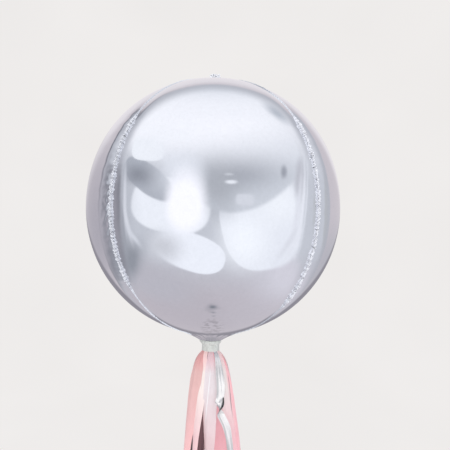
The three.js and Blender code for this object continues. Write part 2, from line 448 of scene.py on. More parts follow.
def film_crinkle(tree, place, broad, fine, fine_share):
    return use_group(tree, "Film crinkle", {"Vector": place, "Broad": broad, "Fine": fine,
                                            "Fine share": fine_share})


# Painted shade over the filling valve under the foil, low on the front: its place and half size across and up
VALVE_SHADE = {"x": 0.001, "z": -0.1735, "width": 0.0165, "height": 0.0200}
MOTTLE_SCALE = 130.0


def valve_shade(tree, place):
    """Painted shade: dark mottles in the crumpled foil over the filling valve."""
    parts = split(tree, place)
    across = ratio(tree, less(tree, parts["X"], VALVE_SHADE["x"]), VALVE_SHADE["width"])
    up = ratio(tree, less(tree, parts["Z"], VALVE_SHADE["z"]), VALVE_SHADE["height"])
    away = total(tree, product(tree, across, across), product(tree, up, up))
    mottle = ranged(tree, noise_of(tree, place, MOTTLE_SCALE, 1.5), 0.46, 0.60)
    front = calc(tree, "LESS_THAN", parts["Y"], 0.0)
    return product(tree, ranged(tree, away, 1.3, 0.4), mottle, front)


# Shares of the foil's colour where it is dim, in the painted shade of the folds at the neck and of the
# deepest of them, and in the painted shade of the mottles, and how much rougher the deepest folds are
FOIL_DIM, FOIL_FOLD_SHADE, FOIL_DEEP_SHADE, FOIL_MOTTLE_SHADE = 0.965, 0.84, 0.70, 0.74
FOLD_DULLNESS = 0.42


def foil_material(name):
    """Mirror foil of the envelope: nearly smooth, with fine crinkles that gather beside the seams, painted
    shade in the folds at the neck and painted shade in dark mottles over the filling valve.
    """
    base = settings().envelope.foil
    made, tree, inputs = new_material(name, Metallic=1.0)
    place = coordinates(tree, "Object")
    near = put(tree, "ShaderNodeAttribute", attribute_name="seam_nearness").outputs["Fac"]
    crinkle = film_crinkle(tree, place, 9.0, 160.0, product(tree, near, 0.16))
    folds = use_group(tree, "Neck fold shade", {"Vector": place})
    # Painted shade in the folds at the neck, darker in the deepest ones at the front and the back
    fold_shade = mixed(tree, folds["Beside"], shade(base, FOIL_DEEP_SHADE), shade(base, FOIL_FOLD_SHADE))
    skin = mixed(tree, tones(tree, crinkle["Tone"], 0, 1), shade(base, FOIL_DIM), rgba(base))
    # Painted shade: dark mottles in the foil over the filling valve
    skin = mixed(tree, valve_shade(tree, place), skin, shade(base, FOIL_MOTTLE_SHADE))
    deep = product(tree, folds["Near"], less(tree, 1.0, folds["Beside"]))
    rough = total(tree, tones(tree, crinkle["Tone"], 0.045, 0.07), product(tree, deep, FOLD_DULLNESS))
    feed(tree, inputs, {
        "Base Color": mixed(tree, folds["Near"], skin, fold_shade),
        "Roughness": rough,
        "Normal": bumped(tree, crinkle["Height"], 0.35, 0.0016)})
    return made


# Share of the crinkled foil's colour in a speck of painted shade
WELD_SPECK_SHADE = 0.28


def weld_material(name):
    """Crinkled foil of the welded margins and the crown tab: bright, with painted shade as dark specks in its
    crinkles.
    """
    base = settings().margins.foil
    made, tree, inputs = new_material(name)
    crinkle = film_crinkle(tree, coordinates(tree, "Object"), 420.0, 560.0, 0.4)
    puckered = put(tree, "ShaderNodeAttribute", attribute_name="puckered").outputs["Fac"]
    # Painted shade: dark specks where the foil is puckered
    speck_shade = product(tree, ranged(tree, crinkle["Tone"], 0.57, 0.63), puckered)
    feed(tree, inputs, {
        "Metallic": ranged(tree, puckered, 0.0, 1.0, 1.0, 0.4),
        "Base Color": mixed(tree, speck_shade, rgba(base), shade(base, WELD_SPECK_SHADE)),
        "Roughness": tones(tree, crinkle["Tone"], 0.12, 0.30),
        "Normal": bumped(tree, product(tree, crinkle["Height"], puckered), 0.8, 0.0012)})
    return made


# Shares of the foil's colour where it is gathered: painted shade in a fold and the paler tone on its crest,
# and what is left of either under the painted shade of the deepest folds
NECK_FOLD_SHADE, NECK_PALE = 0.34, 0.85
NECK_DEEP_SHADE = 0.72


def neck_material(name):
    """Gathered foil of the neck and the tail: painted shade in its folds, deeper in the deepest ones."""
    base = settings().envelope.foil
    made, tree, inputs = new_material(name, Metallic=1.0)
    place = coordinates(tree, "Object")
    crinkle = film_crinkle(tree, place, 300.0, 1000.0, 0.3)
    beside = use_group(tree, "Neck fold shade", {"Vector": place})["Beside"]
    # Painted shade in the hollows of the crinkles, and deeper painted shade in the deepest folds
    skin = mixed(tree, tones(tree, crinkle["Height"], 0, 1), shade(base, NECK_FOLD_SHADE), shade(base, NECK_PALE))
    feed(tree, inputs, {
        "Base Color": mixed(tree, beside, times(tree, skin, rgba([NECK_DEEP_SHADE] * 3)), skin),
        "Roughness": tones(tree, crinkle["Tone"], 0.30, 0.50),
        "Normal": bumped(tree, crinkle["Height"], 0.7, 0.001)})
    return made


# Shares of the wrap's colour where it is dim
WRAP_DIM = (0.86, 0.86, 0.87)


def wrap_material(name):
    """Milky film wrapped round the tassel's head."""
    base = settings().tassel.wrap
    made, tree, inputs = new_material(name, Coat_Weight=0.35, Coat_Roughness=0.2)
    drawn = put(tree, "ShaderNodeMapping", {"Vector": coordinates(tree, "Object"), "Scale": (1.0, 1.0, 0.25)})
    crinkle = film_crinkle(tree, drawn.outputs[0], 260.0, 900.0, 0.35)
    dim = rgba([part * share for part, share in zip(base, WRAP_DIM)])
    feed(tree, inputs, {
        "Base Color": mixed(tree, tones(tree, crinkle["Height"], 0, 1), dim, rgba(base)),
        "Roughness": tones(tree, crinkle["Tone"], 0.25, 0.45),
        "Alpha": tones(tree, crinkle["Height"], 0.72, 0.92),
        "Normal": bumped(tree, crinkle["Height"], 0.6, 0.001)})
    return made


# Where a tissue strip's tones change: drops below the wrap's hem and, for its edge, distances from its middle
TINT_FROM, TINT_TO = 0.050, 0.135
HEM_FROM, HEM_TO = 0.012, 0.030
EDGE_FROM, EDGE_TO = 0.0044, 0.0072

# Shares of a strip's tone near the hem, and where its tissue is dull
HEM_TONE = (1.07, 0.86, 0.88)
DULL_TONE = (0.95, 0.93, 0.93)

# Painted lines on a strip of each tint, a crease shade and a crease highlight: the line and its colour
PAINTED_TISSUE_LINES = {"shell": (CREASE_SHADE, (0.42, 0.30, 0.33)), "lavender": (CREASE_HIGHLIGHT, (1.0, 1.0, 1.0))}


def painted_line(tree, uv, tone, line, colour):
    """A tone with a painted line of highlight or shade along the strip."""
    return mixed(tree, use_group(tree, "Lengthwise line", {"UV": uv} | line)["Mask"], tone, colour)


def tissue_material(name, base, tint):
    """Satin tissue: translucent, with soft fibres, faint lengthwise creases, tones that change over it and a
    painted glow that stands for light through the thin tissue.
    """
    shares = TINTS[tint]
    made, tree, inputs = new_material(name, Sheen_Weight=0.2, Sheen_Roughness=0.4, Specular_IOR_Level=0.35,
                                      Emission_Strength=shares["painted_glow"])
    uv = coordinates(tree, "UV")
    tissue = use_group(tree, "Tissue fibre", {"UV": uv, "Crease": 0.7})
    parts = split(tree, uv)
    tinted = {end: rgba([part * tone for part, tone in zip(base, shares[end])])
              for end in shares if end != "painted_glow"}
    tone = tinted["top"]
    if "edge" in tinted:
        tone = mixed(tree, ranged(tree, parts["X"], EDGE_FROM, EDGE_TO), tone, tinted["edge"])
    tone = mixed(tree, ranged(tree, parts["Y"], TINT_FROM, TINT_TO), tone, tinted["low"])
    dull = mixed(tree, tones(tree, tissue["Cloud"], 0.0, 0.8), WHITE, rgba(DULL_TONE))
    hem = mixed(tree, ranged(tree, parts["Y"], HEM_FROM, HEM_TO), rgba(HEM_TONE), WHITE)
    tone = times(tree, times(tree, tone, dull), hem)
    # Painted crease shade or painted crease highlight, for a tint that has one
    if tint in PAINTED_TISSUE_LINES:
        line, colour = PAINTED_TISSUE_LINES[tint]
        tone = painted_line(tree, uv, tone, line, rgba(colour))
    # The emission is a painted glow that stands for light coming through the thin tissue
    feed(tree, inputs, {
        "Base Color": tone, "Emission Color": tone,
        "Roughness": tones(tree, tissue["Fibre"], 0.42, 0.6),
        "Alpha": tones(tree, tissue["Fibre"], 0.76, 0.90),
        "Normal": bumped(tree, tissue["Height"], 0.5, 0.0008)})
    return made


# Shares of a foil strip's colour where it is dim, and in the painted shade on its facet
SILVER_DIM, SILVER_FACET_SHADE = 0.9, 0.06


def silver_material(name, silver, tint):
    """Silver foil strips with lengthwise creases, some with painted shade on a facet or painted dark all over
    as shade.
    """
    base = [part * tone for part, tone in zip(silver, SILVER_TONES[tint])]
    made, tree, inputs = new_material(name, Metallic=1.0)
    uv = coordinates(tree, "UV")
    tissue = use_group(tree, "Tissue fibre", {"UV": uv, "Crease": 1.0})
    skin = mixed(tree, tones(tree, tissue["Cloud"], 0, 1), shade(base, SILVER_DIM), rgba(base))
    # Painted shade on a facet at the strip's twist
    if tint == "facet":
        skin = painted_line(tree, uv, skin, FACET_SHADE, shade(base, SILVER_FACET_SHADE))
    feed(tree, inputs, {
        "Base Color": skin,
        "Roughness": tones(tree, tissue["Fibre"], 0.12, 0.22),
        "Normal": bumped(tree, tissue["Height"], 0.35, 0.0008)})
    return made


# Envelope

# How late the foil is drawn down on its way in to the neck
DRAW_POWER = 2.2


def fullness(env, latitude):
    """Distance of the foil from the envelope's middle, which grows towards the crown."""
    risen = math.sin(clamp(latitude / env.crown_full_from) * math.pi / 2) ** 2
    return env.equator_radius + env.crown_rise * risen


def drawn_height(env, radius):
    """Height of the foil near the neck, where the tassel's weight and the gathers draw it down."""
    edge = env.equator_radius * math.cos(env.cone_latitude)
    cone = env.equator_radius * math.sin(env.cone_latitude) + (edge - radius) / math.tan(env.cone_latitude)
    inside = clamp((env.draw_radius - radius) / (env.draw_radius - env.neck_radius))
    return cone - env.draw * inside ** DRAW_POWER


def outline(env, latitude):
    """Distance from the axis and height of the foil at a latitude, away from the seams."""
    start = max(latitude, env.cone_latitude)
    radius = fullness(env, start)
    edge = Vector((radius * math.cos(start), radius * math.sin(start)))
    if latitude < start:
        edge.x = lerp(edge.x, env.lip_radius, clamp((start - latitude) / (start + math.pi / 2)))
        edge.y = drawn_height(env, edge.x)
    return edge


def foil_point(env, azimuth, latitude, off, out=0.0):
    """A point of the envelope. off is the angle to the nearest seam, out the distance proud of the foil."""
    edge = outline(env, latitude)
    dip = env.furrow_depth * math.exp(-((off / env.furrow_width) ** 2)) * math.cos(latitude) ** 2
    reach = edge.length + out - dip
    edge = edge * (reach / edge.length)
    return Vector((edge.x * math.cos(azimuth), edge.x * math.sin(azimuth), edge.y))


# Margins in turn from the right front, and the puckered part of each seam in degrees of latitude, at whose
# ends the puckers fade. coarse: how much longer the folds grow towards the neck
PLEATS_FADE = math.radians(7)
MARGINS = [
    {"side": "front_right", "low": -47, "high": 41, "coarse": 1.2},
    {"side": "back_right", "low": -44, "high": 46, "coarse": 0.3},
    {"side": "back_left", "low": -42, "high": 44, "coarse": 0.5},
    {"side": "front_left", "low": -38, "high": 41, "coarse": 0.2},
]


def pleated(seam, latitude):
    """1 where a seam is puckered, 0 towards the crown and the neck."""
    row = MARGINS[seam % 4]
    from_neck = ease((latitude - math.radians(row["low"])) / PLEATS_FADE)
    return from_neck * ease((math.radians(row["high"]) - latitude) / PLEATS_FADE)


# A gore's grid, its distance from the seam plane, how far its broad puckers reach, and how many gathers run
# round the neck
GORE_COLUMNS, GORE_ROWS = 64, 320
GORE_EDGE_GAP = 0.0002
BROAD_PUCKER_REACH = 0.03
GATHERS = 30

# The crumpled foil over the filling valve: its distance from the axis, half its size, and how deep it is
VALVE_RADIUS = 0.120
VALVE_WIDTH, VALVE_LENGTH = 0.0145, 0.023
VALVE_DEPTH = 0.0017

# The slack foil of the left gore beside its front seam: latitude and spread, reach from the seam, and depth
SLACK_LATITUDE, SLACK_SPREAD = math.radians(-4), math.radians(15)
SLACK_REACH = 0.018
SLACK_DEPTH = 0.0013

# Gores in turn from the front to the right round. crumple: how strongly the foil beside the seams is puckered
GORES = [
    {"side": "front", "crumple": 0.35},
    {"side": "right", "crumple": 0.8},
    {"side": "back", "crumple": 0.9},
    {"side": "left", "crumple": 1.9},
]


def gathered(env, azimuth, radius):
    """The gathers that run out from the neck: a few deep ones with shallower ones between them."""
    near = clamp((env.gather_reach - radius) / (env.gather_reach - env.lip_radius)) ** 2
    turn = azimuth + 0.10 * wobble(azimuth * 3, radius * 40, 2.0)
    deep = math.sin(GATHERS * turn) + 0.8 * wobble(azimuth * 9, radius * 70, 5.2)
    return env.gather_depth * near * deep


def valve_wrinkles(azimuth, radius):
    """The crumpled foil over the filling valve, in the lower front."""
    sideways = radius * (azimuth - FRONT)
    window = math.exp(-((sideways / VALVE_WIDTH) ** 2) - ((radius - VALVE_RADIUS) / VALVE_LENGTH) ** 2)
    rough = wobble(sideways * 170, radius * 120, 1.7) + 0.45 * wobble(sideways * 380, radius * 300, 6.1)
    return VALVE_DEPTH * window * rough


def slack(latitude, away):
    """The slack, crumpled foil of the left gore beside its front seam."""
    window = math.exp(-(((latitude - SLACK_LATITUDE) / SLACK_SPREAD) ** 2) - (away / SLACK_REACH) ** 2)
    rough = wobble(latitude * 40, away * 230, 3.3) + 0.5 * wobble(latitude * 80, away * 400, 8.8)
    return SLACK_DEPTH * window * rough


def make_gore(env, index, side, crumple):
    middle = FRONT + index * QUARTER
    crown = math.acos(env.crown_radius / (env.equator_radius + env.crown_rise))
    nearness = {}

    def place(u, v):
        latitude = lerp(-math.pi / 2, crown, v)
        swing = math.sin((u - 0.5) * math.pi) * QUARTER / 2
        off = QUARTER / 2 - abs(swing)
        radius = outline(env, latitude).x
        inset = math.asin(min(GORE_EDGE_GAP / radius, 1)) * swing / (QUARTER / 2)
        away = off * radius
        along = latitude * env.equator_radius
        seam = index if swing > 0 else index - 1
        near = math.exp(-away / env.pucker_reach)
        fine = wobble(along * 230, away * 60, seam % 4 * 7.1)
        broad = wobble(along * 85, away * 30, seam % 4 * 3.3 + 9)
        pucker = near * (fine + 0.8 * broad) + 0.5 * math.exp(-away / BROAD_PUCKER_REACH) * broad
        out = env.pucker_depth * crumple * pleated(seam, latitude) * pucker
        out += gathered(env, middle + swing, radius)
        if latitude < 0:
            out += valve_wrinkles(middle + swing, radius)
        if side == "left" and swing > 0:
            out += slack(latitude, away)
        at = foil_point(env, middle + swing - inset, latitude, off, out)
        nearness[spot(at)] = near * crumple
        return at

    made = grid_of(GORE_COLUMNS, GORE_ROWS, place)
    layer = made.verts.layers.float.new("seam_nearness")
    for corner in made.verts:
        corner[layer] = nearness.get(spot(corner.co), 0.0)
    thicken(made, env.film)
    finish_piece(made, f"foil_gore_{side}", material("mirror_foil", foil_material), "envelope",
                 [f"gore_{side}"], "foil")


class BALLOON_OT_gores(Operator):
    """Make the four foil gores"""
    bl_idname = "balloon.gores"
    bl_label = "Foil gores"

    def execute(self, context):
        for index, gore in enumerate(GORES):
            make_gore(settings().envelope, index, **gore)
        return {"FINISHED"}


# Welded margins

# Degrees at which the crinkled foil of the margins and the crown tab is creased
CRINKLED_SHARP = 14

# A margin's ends in latitude, how deep its root lies in the foil, its fine crumple, how far a crest leans
# along the seam, and the share of a fold's swing at the root
MARGIN_FROM, MARGIN_TO = math.radians(-80), math.radians(86.6)
MARGIN_COLUMNS = 4
MARGIN_ROOT = 0.0009
MARGIN_CRUMPLE = 0.0005
MARGIN_LEAN = 0.0014
ROOT_SWING = 0.35
FOLD_SEED = 410

# Where the folds grow longer: below a latitude, and wholly so further down by this much
COARSE_BELOW, COARSE_BY = math.radians(5), math.radians(45)


def margin_folds(margins, radius, chance, seam, coarse):
    """Crests of the folds from the neck up: latitude, swing, height share and lean of each."""
    crests = []
    latitude = MARGIN_FROM
    turn = 1
    while latitude < MARGIN_TO:
        low = 1 + coarse * ease((COARSE_BELOW - latitude) / COARSE_BY)
        lively = pleated(seam, latitude)
        swing = turn * lerp(0.03, chance.uniform(0.35, 1.0), lively)
        crests.append({"latitude": latitude, "swing": swing, "rise": chance.uniform(0.62, 1.05),
                       "lean": chance.uniform(-0.5, 0.5) * lively})
        latitude += margins.fold * chance.uniform(0.6, 1.4) * low / radius
        turn = -turn
    crests.append({"latitude": MARGIN_TO, "swing": 0.0, "rise": 1.0, "lean": 0.0})
    return crests


def mark_puckered(made, share_at):
    """Writes how strongly the foil is crinkled at each corner, which the crinkled foil's material reads."""
    layer = made.verts.layers.float.new("puckered")
    for corner in made.verts:
        corner[layer] = share_at(corner.co)


def make_margin(env, margins, index, side, coarse):
    azimuth = FRONT + (index + 0.5) * QUARTER
    _, across = facing(azimuth)
    crests = margin_folds(margins, env.equator_radius, random.Random(FOLD_SEED + index), index, coarse)
    rows = 2 * (len(crests) - 1)

    def place(u, v):
        row = round(v * rows)
        crest, after = crests[row // 2], crests[min(row // 2 + 1, len(crests) - 1)]
        half = 0.5 * (row % 2)
        mean = {key: lerp(crest[key], after[key], half) for key in crest}
        latitude = mean["latitude"]
        lively = pleated(index, latitude)
        height = lerp(margins.end_height, margins.height, lively) * mean["rise"]
        lift = lerp(-MARGIN_ROOT, height, u)
        swing = margins.swing * mean["swing"] * lerp(ROOT_SWING, 1, u ** 0.7)
        crumple = MARGIN_CRUMPLE * wobble(latitude * 260, u * 5, index * 3.7) * u * lively
        lean = MARGIN_LEAN * mean["lean"] * u
        at = foil_point(env, azimuth, latitude + lean / env.equator_radius, 0, lift + crumple)
        return at + across * (swing + crumple)

    made = grid_of(MARGIN_COLUMNS, rows, place)
    thicken(made, margins.film)
    mark_puckered(made, lambda corner: pleated(index, math.atan2(corner.z, math.hypot(corner.x, corner.y))))
    finish_piece(made, f"crinkled_margin_{side}", material("crinkled_foil", weld_material), "envelope",
                 [f"seam_{side}"], "weld", sharp=CRINKLED_SHARP)


class BALLOON_OT_margins(Operator):
    """Make the four crinkled welded margins along the seams"""
    bl_idname = "balloon.margins"
    bl_label = "Welded margins"

    def execute(self, context):
        both = settings()
        for index, margin in enumerate(MARGINS):
            make_margin(both.envelope, both.margins, index, margin["side"], margin["coarse"])
        return {"FINISHED"}


# Crown tab

# The tab's flaps: grid, length and height, height of their foot over the foil, film, broad folds and crimp
TAB_COLUMNS, TAB_ROWS = 10, 8
TAB_REACH, TAB_HEIGHT = 0.0118, 0.0122
TAB_FOOT = 0.0004
TAB_FILM = 0.00045
TAB_FOLD, TAB_CRIMP = 0.0030, 0.0010

# The stem between the flaps: radius, then shares of it and heights over their foot, and its folds
STEM_RADIUS = 0.0038
STEM_PROFILE = [(0, -0.006), (0.9, -0.0055), (1, -0.001), (0.8, 0.0012), (0.3, 0.003), (0, 0.0034)]
STEM_STEPS = 40
STEM_FOLDS, STEM_FOLD = 11, 0.10


def make_crown_tab(env):
    foot = env.equator_radius + env.crown_rise + TAB_FOOT
    stem = spun([(STEM_RADIUS * part, foot + height) for part, height in STEM_PROFILE], STEM_STEPS)
    for corner in stem.verts:
        _, turn = polar(corner.co)
        corner.co.xy *= 1 - STEM_FOLD * (0.5 + 0.5 * math.sin(STEM_FOLDS * turn))
    for arm in range(len(MARGINS)):
        outward, across = facing(FRONT + (arm + 0.5) * QUARTER)

        def place(u, v, outward=outward, across=across, arm=arm):
            top = TAB_HEIGHT * (0.86 + 0.22 * wobble(u * 5, arm * 3.3, 1.5)) * (1 - 0.15 * u * u)
            fold = TAB_FOLD * wobble(u * 6, v * 3.5, arm * 5.1) * (0.25 + u)
            fold += TAB_CRIMP * (1 if round(u * TAB_COLUMNS) % 2 else -1) * v
            reach = 0.0006 + TAB_REACH * u * (0.90 + 0.10 * wobble(v * 4, arm, 7.7))
            return outward * reach + across * fold + Vector((0, 0, foot + top * v))

        flap = grid_of(TAB_COLUMNS, TAB_ROWS, place)
        thicken(flap, TAB_FILM)
        mesh = to_mesh(flap, "flap")
        stem.from_mesh(mesh)
        bpy.data.meshes.remove(mesh)
    mark_puckered(stem, lambda corner: 1.0)
    finish_piece(stem, "crown_tab_foil", material("crinkled_foil", weld_material), "envelope",
                 ["crown_tab"], "weld", sharp=CRINKLED_SHARP)


class BALLOON_OT_crown_tab(Operator):
    """Make the crumpled tab where the four seams meet"""
    bl_idname = "balloon.crown_tab"
    bl_label = "Crown tab"

    def execute(self, context):
        make_crown_tab(settings().envelope)
        return {"FINISHED"}


# Neck, wrap and tail

PIVOT = Vector((0, 0, -0.207))

# The gathered neck from inside the gores' lip down into the knuckle inside the wrap: radius and height from
# the pivot. Its gathers begin at one radius in height and at another in width
NECK_PROFILE = [
    (0.02260, -0.00050), (0.02200, -0.00130), (0.02080, -0.00185), (0.01970, -0.00240), (0.01860, -0.00290),
    (0.01720, -0.00325), (0.01580, -0.00360), (0.01490, -0.00420), (0.01440, -0.00500), (0.01370, -0.00600),
    (0.01280, -0.00690), (0.01160, -0.00780), (0.00980, -0.00880), (0.00740, -0.00980), (0.00400, -0.01120),
    (0.0, -0.01180),
]
HIGH_FROM, WIDE_FROM, GATHER_FADE = 0.0160, 0.0100, 0.004
NECK_STEPS = 180
NECK_FILM = 0.0004

# The wrap from its hem up over the curled lip and down round the knuckle: radius and height from the pivot
WRAP_PROFILE = [
    (0.01385, -0.02140), (0.01370, -0.01850), (0.01350, -0.01580), (0.01360, -0.01350), (0.01430, -0.01150),
    (0.01550, -0.00980), (0.01660, -0.00850), (0.01720, -0.00700), (0.01730, -0.00550), (0.01710, -0.00440),
    (0.01670, -0.00405), (0.01610, -0.00440), (0.01560, -0.00540), (0.01500, -0.00670), (0.01400, -0.00770),
    (0.01260, -0.00870), (0.01060, -0.00970), (0.00850, -0.01080), (0.00500, -0.01220), (0.0, -0.01290),
]
WRAP_STEPS = 132
WRAP_FILM = 0.0003

# The wrap's gathers, which begin at a radius, and its lip: from and over what height it curls, and how far
GATHERED_FROM = 0.0125
WRAP_GATHERS, WRAP_GATHER = 26, 0.00022
LIP_FROM, LIP_OVER = PIVOT.z - 0.012, 0.006
LIP_CURL, LIP_RISE = 0.0008, 0.0006

# The tail as shares of its radius, at drops from its top and from its flat end
TAIL_TOP = [(0.0, 0.0), (0.9, 0.0), (1.0, 0.001), (0.97, 0.009), (0.91, 0.018), (0.85, 0.026)]
TAIL_END = [(0.80, -0.0004), (0.72, 0.0), (0.0, 0.0)]
TAIL_STEPS = 72
TAIL_FOLDS, TAIL_FOLD = 16, 0.07


def from_pivot(profile):
    return [(radius, PIVOT.z + height) for radius, height in profile]


def make_neck(env):
    made = spun(from_pivot(NECK_PROFILE), NECK_STEPS)
    for corner in made.verts:
        radius, turn = polar(corner.co)
        gather = gathered(env, turn, max(radius, env.neck_radius))
        corner.co.z -= gather * ease((radius - HIGH_FROM) / GATHER_FADE)
        corner.co.xy *= 1 + 0.6 * gather * ease((radius - WIDE_FROM) / GATHER_FADE) / max(radius, WIDE_FROM)
    thicken(made, NECK_FILM)
    piece = finish_piece(made, "neck_gather", material("gathered_foil", neck_material), None, ["neck"],
                         "foil", sharp=60, mirrored=False)
    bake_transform(piece)


def make_wrap():
    made = spun(from_pivot(WRAP_PROFILE), WRAP_STEPS)
    for corner in made.verts:
        radius, turn = polar(corner.co)
        if radius < GATHERED_FROM:
            continue
        lip = ease((corner.co.z - LIP_FROM) / LIP_OVER)
        gather = WRAP_GATHER * math.sin(WRAP_GATHERS * turn + 3 * wobble(turn * 2, corner.co.z * 90, 0.4))
        curl = LIP_CURL * lip * wobble(turn * 1.3, 4.4, 0)
        corner.co.xy *= 1 + (gather + curl) / radius
        corner.co.z += LIP_RISE * lip * wobble(turn * 1.7, 8.1, 0)
    thicken(made, WRAP_FILM)
    piece = finish_piece(made, "wrap_film", material("milky_wrap", wrap_material), None, ["neck_wrap"],
                         "wrap", sharp=70, mirrored=False)
    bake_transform(piece)


def make_tail():
    low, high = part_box("tail")
    profile = [(high.x * part, end - drop) for end, steps in ((high.z, TAIL_TOP), (low.z, TAIL_END))
               for part, drop in steps]
    made = spun(profile, TAIL_STEPS)
    for corner in made.verts:
        _, turn = polar(corner.co)
        fold = math.sin(TAIL_FOLDS * turn + 3 * wobble(turn, corner.co.z * 50, 6))
        corner.co.xy *= 1 - TAIL_FOLD * (0.5 + 0.5 * fold)
    finish_piece(made, "tail_foil", material("gathered_foil", neck_material), "tassel", ["tail"],
                 "foil", sharp=60, mirrored=False)


class BALLOON_OT_neck(Operator):
    """Make the gathered neck, the milky wrap and the foil tail inside it"""
    bl_idname = "balloon.neck"
    bl_label = "Neck, wrap and tail"

    def execute(self, context):
        make_neck(settings().envelope)
        make_wrap()
        make_tail()
        return {"FINISHED"}


# Tassel strips

# Heights of the wrap's hem and of the strips' tops, and how far the tassel hangs to the side on its way down
HEM_Z, STRIP_TOP_Z = -0.2285, -0.2213
LEAN = math.tan(math.radians(2.1))

# How far the tassel opens out at its shoulder and below it, with the drops over which it does so, and those
# over which a strip widens and its pleats end
SHOULDER_FLARE, SHOULDER_FALL = 0.0144, 0.013
SKIRT_FLARE, SKIRT_FALL = 0.051, 0.300
WIDENING_FALL = 0.025
PLEAT_FALL = 0.030

# Rings from the outside in: radius at the wrap, share of the tassel's flare, turn of the first strip from the
# front in degrees, and how many strips hang in it
RINGS = {
    "outer": {"radius": 0.0118, "flare": 1.0, "turn": 0, "count": 10},
    "middle": {"radius": 0.0099, "flare": 0.62, "turn": 22.5, "count": 8},
    "inner": {"radius": 0.0076, "flare": 0.25, "turn": 30, "count": 6},
}

# One row a strip, in millimetres and degrees. width: when it hangs open. shift: sideways. off: outwards.
# face: turned about its length. Where a value is a pair, it is the one at the shoulder and the one far below.
# twist: half turns, at the drop twist_at and over the length twist_over. curl: how far its edges bend in.
# fold: a lengthwise crease at the place fold_at across. groove: the place across of a narrow crease. Places
# across run from -1 to 1. swing: how far it swings sideways at the drop swing_at. tint: its tone, from TINTS
# or SILVER_TONES
STRIPS = [
    {"node": "strip_outer_white_1", "width": 22, "shift": (-1, -9), "off": 1.5, "face": (3, 55), "fold": 40,
     "fold_at": -0.25, "tint": "lavender"},
    {"node": "strip_outer_silver_2", "width": 15, "shift": (-8.5, 0), "off": 1.0, "face": (12, -12),
     "twist": 1, "twist_at": 77, "twist_over": 26, "swing": -10, "swing_at": 82, "tint": "facet"},
    {"node": "strip_outer_pink_3", "width": (31, 25), "shift": (-16, -5), "off": (-7.5, -4), "face": (42, 12),
     "curl": 2, "groove": 0.35, "tint": "shell"},
    {"node": "strip_outer_white_4", "width": 22, "curl": 2, "face": 8},
    {"node": "strip_outer_pink_5", "width": 22, "fold": 20, "fold_at": 0.2, "face": -6},
    {"node": "strip_outer_silver_6", "width": 20, "twist": -1, "twist_at": 120},
    {"node": "strip_outer_pink_7", "width": 22, "curl": 3, "face": 6},
    {"node": "strip_outer_white_8", "width": 21, "fold": 24, "fold_at": -0.2},
    {"node": "strip_outer_pink_9", "width": (30, 18), "shift": (16, 1.5), "off": (-3.5, -0.5),
     "face": (-45, -8), "curl": 2, "fold": 14, "fold_at": -0.3, "tint": "blush"},
    {"node": "strip_outer_white_10", "width": 21, "shift": (5, -4), "off": (-3, -1), "face": (0, 34),
     "fold": 16, "fold_at": 0.3, "tint": "cream"},
    {"node": "strip_middle_pink_1", "width": 21, "curl": 1, "tint": "salmon"},
    {"node": "strip_middle_silver_2", "width": 17, "twist": 1, "twist_at": 150},
    {"node": "strip_middle_white_3", "width": 18, "curl": 2},
    {"node": "strip_middle_silver_4", "width": 17, "face": 14},
    {"node": "strip_middle_white_5", "width": 18, "fold": 20},
    {"node": "strip_middle_pink_6", "width": 19, "curl": 2},
    # The shade tint paints these two foil strips dark, as painted shade between the tissue
    {"node": "strip_middle_silver_7", "width": (15, 22), "off": (0, 6.5), "tint": "shade"},
    {"node": "strip_middle_silver_8", "width": 15, "face": -10, "shift": (0, -11), "off": -3,
     "tint": "shade"},
    {"node": "strip_inner_pink_1", "width": 14},
    {"node": "strip_inner_white_2", "width": 14, "curl": 1},
    {"node": "strip_inner_pink_3", "width": 14},
    {"node": "strip_inner_silver_4", "width": 13, "twist": 1, "twist_at": 140},
    {"node": "strip_inner_pink_5", "width": 14, "curl": 1},
    {"node": "strip_inner_white_6", "width": 14},
]

# Tones of a strip as shares of its tissue's colour: at the shoulder, far below and, where given, at its outer
# edge. The last value is a painted glow: the share of its tone that the tissue gives off, standing for light
# through it
TINTS = {
    "plain": {"top": (1.0, 0.97, 0.96), "low": (1.0, 0.90, 0.90), "painted_glow": 0.07},
    "lavender": {"top": (0.90, 0.85, 0.88), "low": (0.86, 0.68, 0.70), "painted_glow": 0.06},
    "cream": {"top": (1.05, 1.0, 0.96), "low": (1.05, 0.76, 0.78), "painted_glow": 0.08},
    "blush": {"top": (0.86, 0.67, 0.64), "low": (0.99, 0.74, 0.74), "painted_glow": 0.07},
    "shell": {"top": (1.0, 1.13, 1.10), "low": (1.05, 0.76, 0.81), "edge": (1.08, 0.76, 0.80),
              "painted_glow": 0.07},
    "salmon": {"top": (0.94, 0.66, 0.72), "low": (0.92, 0.62, 0.68), "painted_glow": 0.22},
}

# Tones of a foil strip: as it is, with painted shade on a facet at its twist, and painted dark as shade
# between the tissue
SILVER_TONES = {"plain": (1.0, 1.0, 1.0), "facet": (1.08, 1.04, 0.99), "shade": (0.19, 0.10, 0.105)}

STRIP_COLUMNS, STRIP_ROWS = 20, 120
ROW_CROWDING = 1.25
AREA_STEPS = 40

# The drops at which a strip's pairs of values change over, and its smaller forms: grooves, swing, wandering
# turn and shift, ripples and the unevenness of its cut edge
CHANGE_FROM, CHANGE_OVER = 0.020, 0.140
GROOVE_WIDTH, GROOVE_DEPTH = 0.07, 0.0024
SWING_LENGTH = 0.020
STRIP_TURN, STRIP_DRIFT = 0.16, 0.0016
STRIP_RIPPLE, STRIP_RAGGED = 0.0006, 0.0004


def flare_at(drop):
    """How far the tassel has opened out at a drop below the wrap's hem."""
    if drop <= 0:
        return 0.0
    return (SHOULDER_FLARE * (1 - math.exp(-drop / SHOULDER_FALL))
            + SKIRT_FLARE * (1 - math.exp(-drop / SKIRT_FALL)))


